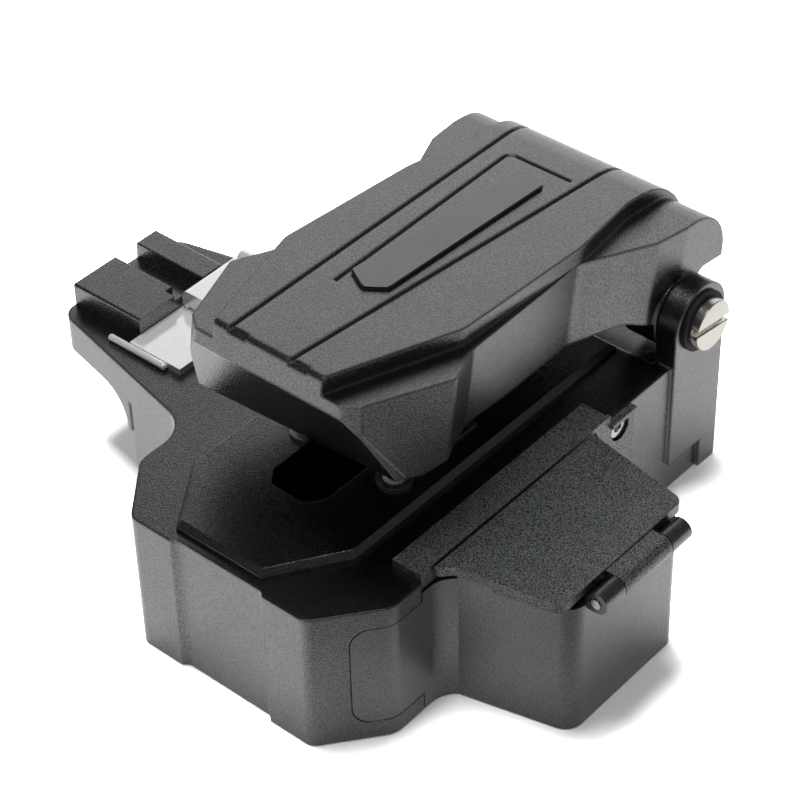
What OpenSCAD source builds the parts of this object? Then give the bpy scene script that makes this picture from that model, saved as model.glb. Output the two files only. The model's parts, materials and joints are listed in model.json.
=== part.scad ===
// Fibre cleaver: a bench tool that scores and breaks a glass optical fibre square.
// Frame: X runs along the fibre towards the scrap bin, Y runs back towards the hinge,
// Z is up. The origin lies on the resting face, under the point where the fibre breaks.

/* [Base housing] */
// Height of the deck above the table
deck_z = 29.4; // [28:0.2:32]
// Distance from the centre plane to the left wall
base_left = 26.8; // [25:0.2:29]
// Distance from the centre plane to the right wall
base_right = 30.4; // [30:0.2:33]
// Distance from the fibre line to the front wall
base_front = 48.5; // [46:0.5:52]
// Width of the front corner chamfers, along X
corner_x = 9; // [7:0.5:11]
// Depth of the front corner chamfers, along Y
corner_y = 11.3; // [9:0.5:13]
// Thickness of the housing walls
wall = 2.6; // [2:0.1:3]
// Thickness of the deck
deck_t = 3; // [2.4:0.2:3.4]
// Half width of the shallow panel in the front wall
panel_half = 9.6; // [7:0.2:11]
// Depth of that panel
panel_deep = 0.9; // [0.5:0.1:1.2]

/* [Platform] */
// Distance from the centre plane to the platform's end
platform_end = 67; // [65:0.5:70]
// Distance from the centre plane to the end of the platform's pedestal
pedestal_end = 47; // [45:0.5:50]
// Thickness of the overhanging slab
slab_t = 7.2; // [6:0.2:9]
// Radius of the fillet under the slab
corbel_r = 7; // [5:0.5:9]

/* [Top plate] */
// Height of the top plate above the deck
top_plate_t = 1.8; // [1.4:0.1:2.2]
// Half width of the top plate
top_plate_half = 18.6; // [18:0.2:20]
// Half width of the blade window
window_half = 6; // [5.4:0.1:6.4]
// Distance from the fibre line to the window's front end
window_front = 28.8; // [27.6:0.2:29.4]
// Half the distance between the two stop buttons
button_x = 9.85; // [9.6:0.05:10.4]
// Distance of the stop buttons in front of the fibre line
button_y = 14.8; // [13.6:0.2:15.4]

/* [Hinge] */
// Distance of the hinge axis behind the fibre line
hinge_y = 47.6; // [46:0.2:50]
// Height of the hinge axis
hinge_z = 36.4; // [36:0.2:38]
// Radius of the rounded top of the hinge posts
post_r = 7.3; // [7.2:0.1:7.8]
// Radius of the hinge shaft
shaft_r = 3; // [2.5:0.1:3.4]
// Radius of the slotted screw heads
screw_head_r = 4.9; // [4.5:0.1:5.3]
// Thickness of the slotted screw heads
screw_head_t = 2.1; // [1.8:0.1:2.8]
// Angle at which the lid stands open at rest
lid_open = 9; // [9:1:20]

/* [Lid] */
// Height of the lid's wings at the front, closed
wing_z = 48; // [47:0.2:50]
// Angle at which the lid's top falls towards the front, closed
lid_slope = 4; // [3:0.25:5]
// Height of the raised centre above the wings
crown_h = 3.3; // [2.6:0.1:4]
// Wall thickness of the lid shell
lid_wall = 2; // [1.6:0.1:2.4]
// Distance from the fibre line to the lid's front edge
lid_front = 34.7; // [33.5:0.1:36]
// Half width of the lid at its hinge ears
ear_half = 25.2; // [24.6:0.1:26]
// How much further the lid and its hinge reach on the holder's side
left_more = 2.6; // [0:0.2:3]
// Half width of the lid's front edge
nose_half = 18.2; // [17:0.2:19]
// How far the lid's shoulders stay inside its ears
shoulder_in = 0.6; // [0.2:0.1:1.4]
// Half width of the lid's waist, in front of the ears
waist_half = 18.4; // [17.6:0.1:19]
// Height of the nose's lower edge, closed
nose_z = 31.8; // [31.6:0.1:32.4]
// Depth of the engraved lines on the lid
line_deep = 0.5; // [0.3:0.05:0.7]
// Width of the engraved lines on the lid
line_w = 0.8; // [0.5:0.05:1]
// Half width of the bare name bar
bar_half = 4.1; // [3.6:0.1:4.4]

/* [Blade] */
// Radius of the blade wheel
blade_r = 9.75; // [9:0.25:10]
// Thickness of the blade wheel
blade_t = 1; // [0.8:0.1:1.4]
// Height of the fibre's underside above the table
fibre_z = 31.9; // [31.8:0.1:32.4]
// Length of the carriage's travel
stroke = 26; // [22:1:28]

/* [Fibre holder] */
// Height of the holder block above the deck
block_h = 4.6; // [3.8:0.1:5.2]
// Width of the fibre groove
groove_w = 5.4; // [4.6:0.1:6]
// Thickness of the polished guide plate
guide_t = 1.4; // [1.1:0.1:1.8]
// Thickness of the polished fibre clamp
clamp_t = 3.2; // [2.6:0.1:3.6]

/* [Scrap bin] */
// Distance from the centre plane to the bin's outer wall
bin_right = 53; // [50:0.5:56]
// Wall thickness of the bin
bin_wall = 1.8; // [1.4:0.1:2.2]
// Thickness of the flap and of the fixed strip
flap_t = 1.9; // [1.5:0.1:2.3]
// Radius of the flap's hinge barrel
barrel_r = 2.1; // [1.9:0.1:2.4]
// Radius of the flap's hinge pin
pin_r = 0.9; // [0.7:0.05:1]

/* [Fits] */
// Radial clearance of pins and shafts in their bores
run_gap = 0.05; // [0.02:0.01:0.08]
// Gap between neighbouring pieces that move
air_gap = 0.4; // [0.3:0.05:0.5]

/* [Hidden] */
$fn = 48;
far = 200;

// Levels of the housing's underside
sole_t = 0.8;
foot_z = 0.2;
panel_mid = 1.8;
cover_t = 2.2;
cover_top = sole_t + cover_t;
cavity_z = deck_z - deck_t;

// Rear part of the housing
side_x = base_right - 1.3;
base_rear = hinge_y + post_r;
trough_z = hinge_z - post_r - 1.4;
post_in = ear_half + air_gap;
post_out = side_x + 0.8;
cavity_rear = hinge_y - post_r - 5;

// Platform and its pedestal; the front and rear edges taper towards the end
root_front = 25.9;
tip_front = 17;
root_rear = 21.5;
tip_rear = 12.3;
slab_z = deck_z - slab_t;

// Top plate
plate_top = deck_z + top_plate_t;
plate_front = base_front - 2.6;
plate_rear = hinge_y - post_r - 2;
plate_chamfer = 13.4;
window_rear = stroke / 2 + blade_r + 2;

// Stop buttons
button_r = 2.1;
button_ring_r = 3.2;
button_ring_t = 0.6;
button_h = 1.9;
button_mid = 1.75;
button_places = [[button_mid - button_x, -button_y], [button_mid + button_x, -button_y]];

// Fibre holder
block_right = -50;
block_front = -13.6;
block_rear = 8.1;
block_top = deck_z + block_h;
guide_z = deck_z + guide_t;
groove_z = guide_z;
guide_front = -16.4;
guide_rear = 15.2;
guide_right = -37.4;
guide_under = -27.2;
lip_r = 0.7;
lip_left = -54;
lip_right = -41;
clamp_z = guide_z + 0.9;
clamp_left = -49.6;
clamp_right = -35;
clamp_hinge_y = 12.6;
clamp_hinge_z = clamp_z + 1.6;
clamp_pin_r = 1;
clamp_ear_r = 1.6;
clamp_ear_w = 3;
holder_screw_x = [-62, -56.5];
holder_screw_y = -8.6;
holder_screw_r = 1;
holder_head_r = 1.9;
holder_head_t = 1.2;

// Scrap bin, its bracket and its flap
strip_left = 23.8;
strip_front = -29.6;
strip_rear = 21.3;
step_y = strip_front - 0.4;
strip_top = deck_z + 1.5;
shelf_z = strip_top - 3.2;
bracket_out = side_x + 0.9;
bin_left = bracket_out + 0.3;
bin_front = -18.5;
bin_root_front = -23.6;
bin_rear = 10.5;
bin_root_rear = 14.6;
flap_z = strip_top - flap_t;
bin_top = flap_z - 0.8;
barrel_x = bin_right + 1.4;
barrel_z = bin_top + 0.3;
barrel_front = -14.8;
barrel_rear = 8.6;
knuckle_l = 5.2;
flap_left = bracket_out + 0.3;
flap_right = barrel_x - barrel_r - 0.25;
skirt_left = bin_left + 9;
skirt_right = bin_right - 5;
skirt_t = 0.7;
tongue_t = 1.6;
tongue_top = deck_z - 4;
tongue_bottom = 4.1;
flange_rear = 28.2;
bracket_screw_y = 24.2;
bracket_screw_z = 26.6;
bracket_screw_r = 1.2;
bracket_head_r = 2.1;
bracket_hole_r = 2.5;
bracket_seat = side_x - 0.8;
bracket_lip = 0.7;
bracket_lip_h = 0.9;

// Blade carriage, drawn parked at the rear end of its travel
carriage_y = stroke / 2;
axle_r = 2;
axle_z = fibre_z + 0.1 - blade_r;
hub_r = 5;
hub_t = 2.6;
slot_half = 1.8;
cheek_half = 5.2;
rail_half = 4.5;
rail_front = -31.5;
rail_rear = 32;
rail_screw_y = [rail_front + 3, rail_rear - 3];
height_screw_x = 7.4;
rail_top = 6.6;

// Lid, in its closed position; the inner pieces hang from its inner plate
slope = tan(lid_slope);
nose_cut_x = 2.4;
nose_cut_y = 2.3;
lid_rear = hinge_y + 11.6;
rear_r = 9.7;
crown_back = 0.3;
bar_front = -11.6;
bar_rear = 36;
bar_mid = -0.8;
bar_taper = 1.4;
line_front_x = [-8.3, 4.9];
line_rear_x = [-13.8, 6.1];
hook_front_x = -5.5;
hook_front_y = -12.7;
hook_left = -10.3;
hook_right = 4.1;
hook_rear = 39;
bar_sink = line_deep;
bar_proud = 0.7;
lid_screw_places = [[-14.6, -9.4], [14.6, -9.4], [-14, 27], [14, 27]];
bumper_z = plate_top + button_h + 0.3;
bumper_t = 1.2;
anvil_z = fibre_z + 1.4;
inner_z = 41;
inner_t = 2;
inner_half = 16.2;
inner_front_half = 15;
inner_front = -20;
inner_rear = 30;
bush_r = 4.3;
lug_r = 7.2;
lug_w = 7;
lug_right = ear_half - lug_w;
lug_left = lug_right + left_more;
crown_edge_z = wing_z + crown_h;
dip_w = 3.2;
anvil_hole = 2.2;
spring_wire = 0.35;

// Screws that close the housing's underside
boss_r = 3.6;
screw_r = 1.5;
boss_places = [[-18.9, -36], [19, -35], [-22, 28.5], [21.6, 28.5], [-40, 2]];

// One corner of an outline: [x, y, r] becomes an arc of radius r tangent to both sides
function unit(v) = v / norm(v);
function corner(p, q, s, r) = r <= 0 ? [q] : let(
    u = unit(p - q), w = unit(s - q),
    half = acos(u * w) / 2,
    c = q + unit(u + w) * (r / sin(half)),
    a = q + u * (r / tan(half)) - c,
    b = q + w * (r / tan(half)) - c,
    a0 = atan2(a[1], a[0]),
    turn = atan2(a[0] * b[1] - a[1] * b[0], a * b),
    n = max(2, ceil(abs(turn) / 12))
) [for (i = [0:n]) c + r * [cos(a0 + turn * i / n), sin(a0 + turn * i / n)]];
function soft(path) = let(n = len(path)) [
    for (i = [0:n - 1])
        let(q = path[i], p = path[(i + n - 1) % n], s = path[(i + 1) % n])
        each corner([p[0], p[1]], [q[0], q[1]], [s[0], s[1]], len(q) > 2 ? q[2] : 0)
];

// Extrusions of an outline: upwards, along X (points are [y, z]) and along Y (points are [x, z])
module up(path, z0, z1) translate([0, 0, z0]) linear_extrude(z1 - z0) polygon(soft(path));
module along_x(path, x0, x1) translate([x0, 0, 0]) rotate([90, 0, 90])
    linear_extrude(x1 - x0) polygon(soft(path));
module along_y(path, y0, y1) translate([0, y1, 0]) rotate([90, 0, 0])
    linear_extrude(y1 - y0) polygon(soft(path));

// Round bars along each axis, from one end to the other
module rod_x(r, x0, x1) translate([x0, 0, 0]) rotate([0, 90, 0]) cylinder(h = x1 - x0, r = r);
module rod_y(r, y0, y1) translate([0, y0, 0]) rotate([-90, 0, 0]) cylinder(h = y1 - y0, r = r);
module rod_z(r, z0, z1) translate([0, 0, z0]) cylinder(h = z1 - z0, r = r);
module block(a, b) translate(a) cube(b - a);
module at_hinge() translate([0, hinge_y, hinge_z]) children();
module half(side) mirror([side < 0 ? 1 : 0, 0, 0]) children();
module hinge_half(side) translate([side < 0 ? -left_more : 0, 0, 0]) half(side) children();

// Turns a piece drawn with the lid closed into its place with the lid open at rest
module open_lid() at_hinge() rotate([-lid_open, 0, 0]) translate([0, -hinge_y, -hinge_z]) children();

// A coil spring along Z: a round wire swept along a helix
module coil(r, wire, height, turns) {
    sides = 6;
    steps = 14 * turns;
    ring = function(i) let(a = 360 * turns * i / steps) [
        for (k = [0:sides - 1]) let(b = 360 * k / sides)
            [(r + wire * cos(b)) * cos(a), (r + wire * cos(b)) * sin(a),
             wire + (height - 2 * wire) * i / steps + wire * sin(b)]];
    points = [for (i = [0:steps]) each ring(i)];
    skin = [for (i = [0:steps - 1]) for (k = [0:sides - 1]) let(m = (k + 1) % sides)
        each [[i * sides + k, i * sides + m, (i + 1) * sides + m],
              [i * sides + k, (i + 1) * sides + m, (i + 1) * sides + k]]];
    first = [for (k = [0:sides - 1]) sides - 1 - k];
    last = [for (k = [0:sides - 1]) steps * sides + k];
    polyhedron(points, concat([first], skin, [last]), convexity = 10);
}

// ---------------------------------------------------------------- housing

// Outline of the housing's walls, inset by e; the pedestal carries the platform's root
function edge_y(x, root, tip) =
    root + (tip - root) * (x - base_left) / (platform_end - base_left);
function body_path(e) = [
    [-(base_left - corner_x) + e / 2, -base_front + e, 2.5],
    [base_right - corner_x - e / 2, -base_front + e, 2.5],
    [base_right - e, -base_front + corner_y + e / 2, 5],
    [base_right - e, step_y],
    [side_x - e, step_y],
    [side_x - e, base_rear - e, 2],
    [-side_x - left_more + e, base_rear - e, 2],
    [-side_x - left_more + e, root_rear - e, 3],
    [-pedestal_end + e, edge_y(pedestal_end, root_rear, tip_rear) - e, 3],
    [-pedestal_end + e, -edge_y(pedestal_end, root_front, tip_front) + e, 3],
    [-base_left + e, -root_front + e, 7],
    [-base_left + e, -base_front + corner_y + e / 2, 5],
];
platform_path = [
    [-platform_end, -tip_front, 3.5],
    [-base_left, -root_front],
    [-base_left, root_rear],
    [-platform_end, tip_rear, 3.5],
];
cavity_path = [
    [-(base_left - corner_x) + wall / 2, -base_front + wall + panel_deep],
    [base_right - corner_x - wall / 2, -base_front + wall + panel_deep],
    [side_x - wall - 0.6, -base_front + corner_y + wall],
    [side_x - wall - 0.6, cavity_rear],
    [-side_x + wall, cavity_rear],
    [-side_x + wall, root_rear - 2 * wall],
    [-pedestal_end + wall, root_rear - 4 * wall],
    [-pedestal_end + wall, -root_front + 3 * wall],
    [-base_left + wall, -root_front + 2 * wall],
    [-base_left + wall, -base_front + corner_y + wall],
];

// The bin's tongue wraps the right front corner; grow is the parting gap round it
function tongue_path(e) = [
    [0, -base_front + e],
    [base_right - corner_x - e / 2, -base_front + e, 2.5],
    [base_right - e, -base_front + corner_y + e / 2, 5],
    [base_right - e, 0],
    [0, 0],
];
module tongue(grow) {
    turn = atan2(corner_y, corner_x);
    intersection() {
        difference() {
            up(tongue_path(grow > 0 ? -1 : 0), 0, far);
            up(tongue_path(tongue_t + grow), -1, far + 1);
        }
        translate([base_right - corner_x / 2, -base_front + corner_y / 2, 0])
            rotate([90, 0, turn]) translate([0, 0, -20]) linear_extrude(40)
            polygon(soft([
                [-grow, tongue_bottom - grow, 3.5], [60, tongue_bottom - grow],
                [60, tongue_top + grow], [-grow, tongue_top + grow, 3.5]]));
        block([0, -base_front, 0], [base_right + 1, step_y + 2 + grow, far]);
    }
}

// Slab, fillet and pedestal of the cantilevered platform
module platform() {
    up(platform_path, slab_z, deck_z);
    intersection() {
        up(platform_path, 0, deck_z);
        along_y([
            [-pedestal_end - corbel_r, slab_z + 1],
            [-pedestal_end + 1, slab_z + 1],
            [-pedestal_end + 1, slab_z - corbel_r],
            [-pedestal_end, slab_z - corbel_r],
            for (a = [0:10:90])
                [-pedestal_end - corbel_r + corbel_r * cos(a), slab_z - corbel_r + corbel_r * sin(a)],
        ], -far, far);
    }
}

module base_body() color("#26272a") difference() {
    union() {
        up(body_path(0), foot_z, deck_z);
        platform();
        for (side = [-1, 1]) hinge_half(side) {
            at_hinge() rod_x(post_r, post_in, post_out);
            block([post_in, hinge_y - post_r, foot_z + 6.6], [post_out, base_rear, hinge_z]);
            block([post_in, base_rear - 5, foot_z], [post_out, base_rear, hinge_z]);
        }
    }
    // Inside of the housing, open below, and the deep part under the hinge
    difference() {
        up(cavity_path, -1, cavity_z);
        for (p = boss_places) translate([p[0], p[1], cover_top]) cylinder(h = far, r = boss_r);
    }
    block([-side_x + wall, cavity_rear - 1, -1], [side_x - wall, base_rear - wall, trough_z - deck_t]);
    for (p = boss_places) translate([p[0], p[1], 0]) cylinder(h = 14, r = screw_r);
    // Opening in the deck under the top plate
    up([[-top_plate_half + 5, -window_front - 3, 2], [top_plate_half - 5, -window_front - 3, 2],
        [top_plate_half - 5, window_rear + 3, 2], [-top_plate_half + 5, window_rear + 3, 2]],
        cavity_z - 1, far);
    // Trough between the posts for the lid's lugs
    block([-post_in - left_more, hinge_y - post_r - 1, trough_z], [post_in, far, far]);
    // Bores for the hinge shaft
    at_hinge() rod_x(shaft_r, -far, far);
    // Shelf for the bin's bracket, and the bin's tongue pocket
    block([strip_left - 0.05, strip_front - 0.05, shelf_z], [far, strip_rear + 0.05, far]);
    tongue(0.15);
    // Seat of the bracket's screw
    translate([0, bracket_screw_y, bracket_screw_z]) {
        rod_x(bracket_screw_r, side_x - wall, far);
        rod_x(bracket_hole_r, bracket_seat, far);
    }
    // Shallow panel in the front wall
    translate([panel_mid, -base_front, 0])
        up([[-panel_half - 1.5, -1], [panel_half + 1.5, -1],
            [panel_half, panel_deep, 1.5], [-panel_half, panel_deep, 1.5]], -1, far);
    // Counterbored holes for the screws that hold the holder block from below
    for (x = holder_screw_x) translate([x, holder_screw_y, 0]) {
        cylinder(h = far, r = holder_screw_r + 0.1);
        cylinder(h = slab_z + holder_head_t, r = holder_head_r + 0.2);
    }
}

module top_plate() color("#1d1e20") difference() {
    hull() {
        up(top_plate_path(0), deck_z, deck_z + top_plate_t * 0.4);
        up(top_plate_path(1), plate_top - 0.1, plate_top);
    }
    up([[-window_half, -window_front + 3, 1], [-window_half + 2.2, -window_front, 1],
        [window_half - 2.2, -window_front, 1], [window_half, -window_front + 3, 1],
        [window_half, window_rear, 1.5], [-window_half, window_rear, 1.5]], 0, far);
    for (p = button_places) translate([p[0], p[1], 0]) cylinder(h = far, r = screw_r);
}
function top_plate_path(e) = [
    [-top_plate_half + 9 + e / 2, -plate_front + e], [top_plate_half - 9 - e / 2, -plate_front + e],
    [top_plate_half - e, -plate_front + plate_chamfer + e / 2], [top_plate_half - e, plate_rear - e],
    [-top_plate_half + e, plate_rear - e], [-top_plate_half + e, -plate_front + plate_chamfer + e / 2],
];

// Cover of the housing's underside, with countersunk screws and a glued sole
module under_plate(e, z0, z1, hole) difference() {
    union() {
        up([for (p = cavity_path) [p[0] * (1 - e / 40), p[1] * (1 - e / 40)]], z0, z1);
        block([-side_x + wall + e, cavity_rear - 2, z0], [side_x - wall - e, base_rear - wall - e, z1]);
    }
    for (p = boss_places) translate([p[0], p[1], -1]) cylinder(h = far, r = hole);
}
module bottom_cover() color("#303134") under_plate(0.15, sole_t, cover_top, screw_r + 0.2);
module sole_pad() color("#18181a") under_plate(0.5, 0, sole_t, 3.4);
module cover_screws() color("#b9bbbd") for (p = boss_places) translate([p[0], p[1], 0]) {
    translate([0, 0, sole_t]) difference() {
        translate([0, 0, -0.6]) cylinder(h = 0.6, r = 2.8);
        translate([0, 0, -1]) cylinder(h = 0.9, r = 1.2, $fn = 6);
    }
    translate([0, 0, sole_t]) cylinder(h = 11, r = screw_r - 0.03);
}

// Domed buttons that stop the closing lid, on flat rings
module stop_buttons() color("#c9c7be") for (p = button_places) translate([p[0], p[1], plate_top]) {
    intersection() {
        translate([0, 0, button_h - 2.6]) sphere(r = 2.6);
        cylinder(h = button_h, r = button_r);
    }
    translate([0, 0, -top_plate_t]) cylinder(h = top_plate_t + 0.1, r = screw_r - 0.03);
}
// The ring beside the blade window has a flat, so that nothing stands over the window
module button_rings() color("#a9a89f") difference() {
    for (p = button_places) translate([p[0], p[1], plate_top]) cylinder(h = button_ring_t, r = button_ring_r);
    for (p = button_places) translate([p[0], p[1], 0]) cylinder(h = far, r = button_r + 0.03);
    block([-window_half, -window_front, 0], [window_half, 0, far]);
}

// ---------------------------------------------------------------- fibre holder

module holder_block() color("#2b2c2e") difference() {
    along_x([
        [block_front, deck_z], [block_rear, deck_z], [block_rear, block_top, 0.5],
        [groove_w / 2, block_top, 0.3], [groove_w / 2 - 0.2, groove_z],
        [-groove_w / 2 + 0.9, groove_z], [-groove_w / 2 + 0.9, groove_z + 1.2],
        [-groove_w / 2, block_top - 0.9], [-groove_w / 2, block_top, 0.3], [block_front, block_top, 0.5],
    ], -platform_end, block_right);
    for (x = holder_screw_x) translate([x, holder_screw_y, 0])
        cylinder(h = block_top - 1, r = holder_screw_r);
    block([block_right - 2.4, -groove_w / 2 - 1.8, block_top - 1],
        [block_right + 1, -groove_w / 2 + 1.2, far]);
}
module holder_screws() color("#2a2a2c") for (x = holder_screw_x) translate([x, holder_screw_y, slab_z]) {
    difference() {
        translate([0, 0, 0.1]) cylinder(h = holder_head_t - 0.1, r = holder_head_r);
        translate([0, 0, -1]) cylinder(h = 1.7, r = 0.8, $fn = 6);
    }
    translate([0, 0, holder_head_t - 0.1])
        cylinder(h = block_top - slab_z - holder_head_t - 1.1, r = holder_screw_r - 0.03);
}

// Polished floor that the fibre lies on, with a rolled lip along its front edge
module guide_plate() color("#d9dadb") {
    block([block_right + 0.1, guide_front, deck_z], [guide_right, guide_rear, guide_z]);
    block([guide_right - 0.1, -groove_w, deck_z], [guide_under, guide_rear, guide_z]);
    translate([0, guide_front - lip_r + 0.1, deck_z + lip_r]) {
        rod_x(lip_r, lip_left, lip_right);
        for (x = [lip_left, lip_right]) translate([x, 0, 0]) sphere(r = lip_r);
    }
    for (x = [clamp_left + air_gap, clamp_right - air_gap - clamp_ear_w]) difference() {
        along_x([
            [clamp_hinge_y - clamp_ear_r, guide_z - 0.5],
            [clamp_hinge_y + clamp_ear_r, guide_z - 0.5],
            [clamp_hinge_y + clamp_ear_r, clamp_hinge_z + clamp_ear_r, clamp_ear_r - 0.1],
            [clamp_hinge_y - clamp_ear_r, clamp_hinge_z + clamp_ear_r, clamp_ear_r - 0.1],
        ], x, x + clamp_ear_w);
        translate([0, clamp_hinge_y, clamp_hinge_z]) rod_x(clamp_pin_r, -far, 0);
    }
}
module clamp_pin() color("#bfc1c3") translate([0, clamp_hinge_y, clamp_hinge_z])
    rod_x(clamp_pin_r, clamp_left + air_gap, clamp_right - air_gap);

// Polished bar that presses the fibre into the holder; it lifts about its rear pin
module fibre_clamp() color("#e2e3e4") difference() {
    union() {
        along_y([[clamp_left, clamp_z], [clamp_right, clamp_z], [clamp_right, clamp_z + clamp_t, 1.2],
            [clamp_left, clamp_z + clamp_t, 1.5]], -3, clamp_hinge_y - 2.2);
        translate([0, clamp_hinge_y, clamp_hinge_z]) rod_x(1.7, clamp_left + 4, clamp_right - 4);
        block([clamp_left + 4, clamp_hinge_y - 3, clamp_z + 0.4],
            [clamp_right - 4, clamp_hinge_y, clamp_hinge_z + 1.5]);
    }
    translate([0, clamp_hinge_y, clamp_hinge_z]) rod_x(clamp_pin_r + run_gap, -far, 0);
    block([clamp_left + 2.5, -2, clamp_z - 1], [clamp_right - 2.5, 4, clamp_z + 0.6]);
}
module clamp_pad() color("#3a3a3a")
    block([clamp_left + 2.5, -2, clamp_z - 0.5], [clamp_right - 2.5, 4, clamp_z + 0.6]);

// ---------------------------------------------------------------- fibre pads, blade and carriage

module pad_seats() color("#9ea0a3") for (side = [-1, 1]) half(side) difference() {
    block([window_half + 1, -5, plate_top], [window_half + 7.4, 5, plate_top + 0.4]);
    block([window_half + 2, -4, 0], [window_half + 6.4, 4, far]);
}
module lower_pads() color("#4a4b4d") for (side = [-1, 1]) half(side)
    block([window_half + 2, -4, plate_top], [window_half + 6.4, 4, fibre_z - 0.1]);

module carriage_rail() color("#b4b6b8") difference() {
    union() {
        block([-rail_half, rail_front, cover_top], [rail_half, rail_rear, cover_top + 1.4]);
        block([-rail_half + 1.2, rail_front, cover_top + 1], [rail_half - 1.2, rail_rear, rail_top]);
    }
    for (y = rail_screw_y) translate([0, y, 0]) cylinder(h = far, r = 1.2);
}
module rail_screws() color("#8f9194") for (y = rail_screw_y) translate([0, y, 0]) {
    translate([0, 0, rail_top]) difference() {
        cylinder(h = 1.2, r = 2);
        translate([0, 0, 0.5]) cylinder(h = 2, r = 0.9, $fn = 6);
    }
    translate([0, 0, cover_top]) cylinder(h = rail_top - cover_top + 0.5, r = 1.17);
}

module carriage_block() color("#8d9196") difference() {
    union() {
        block([-9, carriage_y - 11, cover_top + 2], [9, carriage_y + 11, 13.5]);
        along_x([[carriage_y - 7, 13], [carriage_y + 7, 13],
            [carriage_y + 4, axle_z + 3.6, 2.5], [carriage_y - 4, axle_z + 3.6, 2.5]],
            -cheek_half, cheek_half);
    }
    block([-slot_half, carriage_y - blade_r - 3, axle_z - blade_r - 1.2],
        [slot_half, carriage_y + blade_r + 3, far]);
    block([-rail_half + 1.2 - 0.3, -far, 0], [rail_half - 1.2 + 0.3, far, rail_top + 0.4]);
    translate([0, carriage_y, axle_z]) rod_x(axle_r, -far, far);
    translate([height_screw_x, carriage_y - 7, 0]) cylinder(h = far, r = 1.2);
}
module blade_axle() color("#c3c5c7") translate([0, carriage_y, axle_z])
    rod_x(axle_r, -cheek_half - 0.6, cheek_half + 0.6);
module axle_clips() color("#77797c") for (side = [-1, 1]) half(side)
    translate([0, carriage_y, axle_z]) difference() {
        rod_x(3, cheek_half + 0.05, cheek_half + 0.55);
        rod_x(axle_r, 0, far);
    }
module height_screw() color("#a5a7aa") translate([height_screw_x, carriage_y - 7, 0]) {
    translate([0, 0, 13.5]) difference() {
        cylinder(h = 1.6, r = 1.5);
        translate([0, 0, 0.7]) cylinder(h = 2, r = 0.9, $fn = 6);
    }
    translate([0, 0, 6]) cylinder(h = 8, r = 1.17);
}
module blade_wheel() color("#dcdee0") translate([0, carriage_y, axle_z]) difference() {
    rod_x(blade_r, -blade_t / 2, blade_t / 2);
    rod_x(hub_r - 1.2, -far, far);
    for (a = [0:22.5:337.5]) rotate([a, 0, 0]) translate([0, 0, hub_r + 2.2]) rod_x(0.4, -5, 5);
}
module blade_hub() color("#6d7074") translate([0, carriage_y, axle_z]) difference() {
    union() {
        rod_x(hub_r - 1.23, -hub_t / 2, hub_t / 2);
        rod_x(hub_r, blade_t / 2 + 0.01, hub_t / 2);
    }
    rod_x(axle_r + run_gap, -far, far);
}

// ---------------------------------------------------------------- hinge

module hinge_shaft() color("#8a8c8e") at_hinge() difference() {
    rod_x(shaft_r, -post_out - left_more + 0.2, post_out - 0.2);
    for (side = [-1, 1]) hinge_half(side) rod_x(screw_r, post_out - 9, far);
}
module hinge_washers() color("#161617") for (side = [-1, 1]) hinge_half(side) at_hinge() difference() {
    rod_x(screw_head_r + 1, post_out, post_out + 0.7);
    rod_x(screw_r, 0, far);
}
module hinge_screws() color("#d2cfc6") for (side = [-1, 1]) hinge_half(side) at_hinge() difference() {
    union() {
        rod_x(screw_head_r, post_out + 0.7, post_out + 0.7 + screw_head_t);
        rod_x(screw_r - 0.03, post_out - 8, post_out + 0.8);
    }
    rotate([-8, 0, 0]) block([post_out + screw_head_t - 0.6, -far, -0.55], [far, far, 0.55]);
}

// ---------------------------------------------------------------- lid, drawn closed

// Outline of the lid from its right half; the left half grows wider towards the hinge
function left_at(y) = left_more * min(1, max(0, (y + lid_front) / (hinge_y + lid_front)));
function both_sides(right) = concat(right, [for (i = [len(right) - 1:-1:0])
    [-right[i][0] - left_at(right[i][1]), right[i][1], len(right[i]) > 2 ? right[i][2] : 0]]);
function lid_path(e) = both_sides([
    [nose_half - nose_cut_x - e / 2, -lid_front + e, 1],
    [nose_half + 0.4 - e, -lid_front + nose_cut_y + e / 2, 1],
    [ear_half - shoulder_in - e, -16.4 + e, 1.5],
    [ear_half - shoulder_in - 3.4 - e, -8, 4],
    [waist_half - e, 24, 6],
    [ear_half - 0.8 - e, 38.6 + e, 4],
    [ear_half - e, 46, 3],
    [ear_half - e, hinge_y + 16],
]);
function crown_path(e) = both_sides([
    [11.4 - e, -lid_front - 1 + e],
    [19.4 - e, -8.5, 5],
    [18.4 - e, 24, 20],
    [15.6 - e, 41, 14],
    [16.6 - e, hinge_y + 14],
]);
// Side profile of the lid: its top line is raised by h, its walls are inset by e
function top_line(y) = wing_z + (y + lid_front) * slope;
function rear_y(h, e) = lid_rear - e - (h > 0 ? crown_back + crown_h - h : 0);
function lid_profile(h, e) = [
    [-lid_front + e, top_line(-lid_front) + h, h > 0 ? 1 : 0],
    [-lid_front + e, top_line(-lid_front) - 2.5],
    [-lid_front + 11.2 + e, nose_z],
    [-lid_front + 14 + e, nose_z, 1],
    [-13, nose_z + 3.2, 2],
    [4, nose_z + 3, 10],
    [24, nose_z + 4, 10],
    [34, nose_z + 5.8, 3],
    [hinge_y - 4, hinge_z - 1.4],
    [hinge_y + 4, hinge_z - 1.4],
    [hinge_y + 4.4, hinge_z + 6.6, 2],
    [rear_y(h, e), hinge_z + 6.8],
    [rear_y(h, e), top_line(rear_y(h, e)) + h, rear_r + h],
];
module lid_solid(e, h) intersection() {
    up(lid_path(e), 0, far);
    along_x(lid_profile(h, e), -far, far);
}
module crown_solid(e, h) intersection() {
    up(crown_path(e), 0, far);
    along_x(lid_profile(h, e), -far, far);
}
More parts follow.
